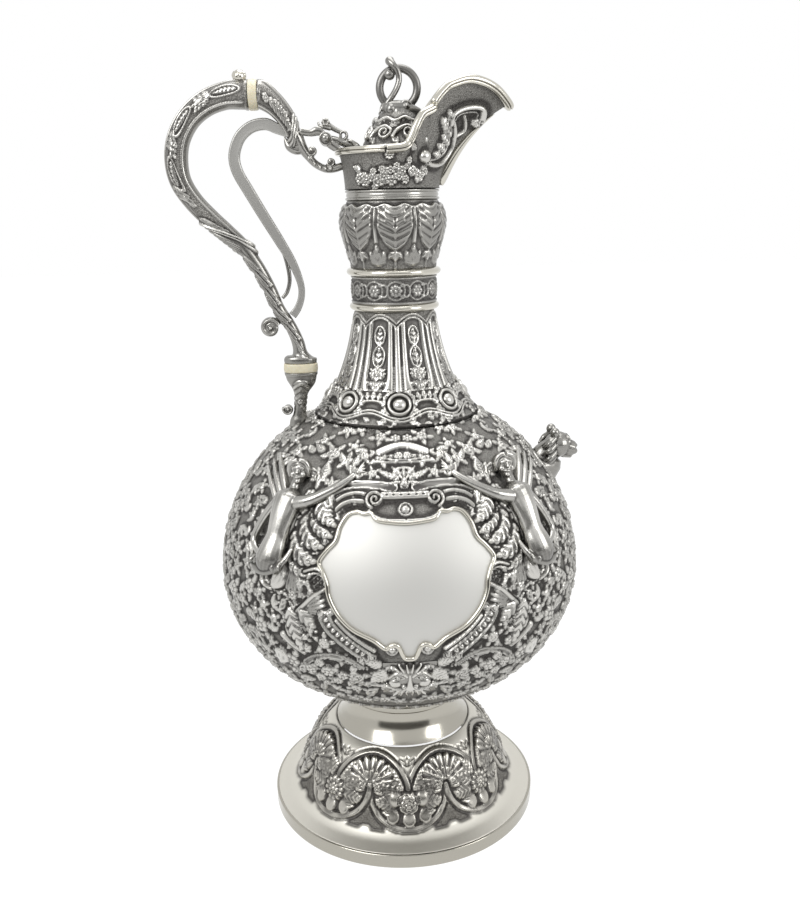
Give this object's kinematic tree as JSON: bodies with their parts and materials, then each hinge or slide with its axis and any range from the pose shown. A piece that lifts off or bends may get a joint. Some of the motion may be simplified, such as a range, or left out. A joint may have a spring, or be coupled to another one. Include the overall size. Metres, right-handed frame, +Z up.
{
  "type": "silver claret ewer",
  "caption": "Chased silver wine ewer: globe body on a spreading foot, fluted neck, helmet spout, hinged domed lid and a tall scrolled handle with pale insulators.",
  "frame": {"origin": "on the body's axis, in the plane of the foot's rest face", "axes": "+Z up along the body's axis, +X towards the spout, -X towards the handle, -Y faces the picture"},
  "size_m": [0.1808, 0.1674, 0.3482],
  "materials": {
    "polished_silver": "polished, fine rubbed lines",
    "chased_silver": "repousse and chased, bright on the high parts and oxidised in the recesses",
    "oxidised_silver": "cast and oxidised",
    "ivory": "polished, faint grain"
  },
  "bodies": {
    "vessel": {"foot_rim": "polished_silver", "foot": "chased_silver", "stem_collar": "polished_silver", "body": "chased_silver", "neck_collar": "chased_silver", "neck": "chased_silver", "lower_neck_ring": "polished_silver", "neck_band": "oxidised_silver", "upper_neck_ring": "polished_silver", "knop": "chased_silver", "mouth_ring": "polished_silver", "mouth": "chased_silver", "lid_seat": "chased_silver", "rear_rim_moulding": "polished_silver", "lip_moulding": "polished_silver", "spout_keel": "polished_silver", "hinge_bracket": "chased_silver", "hinge_pin": "polished_silver", "handle_terminal": "chased_silver", "handle_upper_socket": "chased_silver", "upper_insulator": "ivory", "handle_grip": "chased_silver", "grip_ball": "polished_silver", "grip_volute": "chased_silver", "handle_strap": "chased_silver", "lower_insulator": "ivory", "handle_leg": "chased_silver", "insulator_pins": "polished_silver", "lion_head": "chased_silver", "nymph_front_left": "chased_silver", "nymph_front_right": "chased_silver", "nymph_back_left": "chased_silver", "nymph_back_right": "chased_silver", "cartouche_front": "chased_silver", "cartouche_back": "chased_silver", "mask_front": "chased_silver", "mask_back": "chased_silver"},
    "lid": {"lid": "chased_silver", "lid_hinge_leaf": "chased_silver", "thumbpiece": "chased_silver", "finial_collar": "oxidised_silver", "finial_ring": "oxidised_silver", "finial_tendril": "oxidised_silver"}
  },
  "joints": [
    {"name": "lid_hinge", "type": "hinge", "parent": "vessel", "child": "lid", "pos_m": [-0.0279, 0, 0.31579], "axis": [0, -1, 0], "range_deg": [0, 70]}
  ]
}
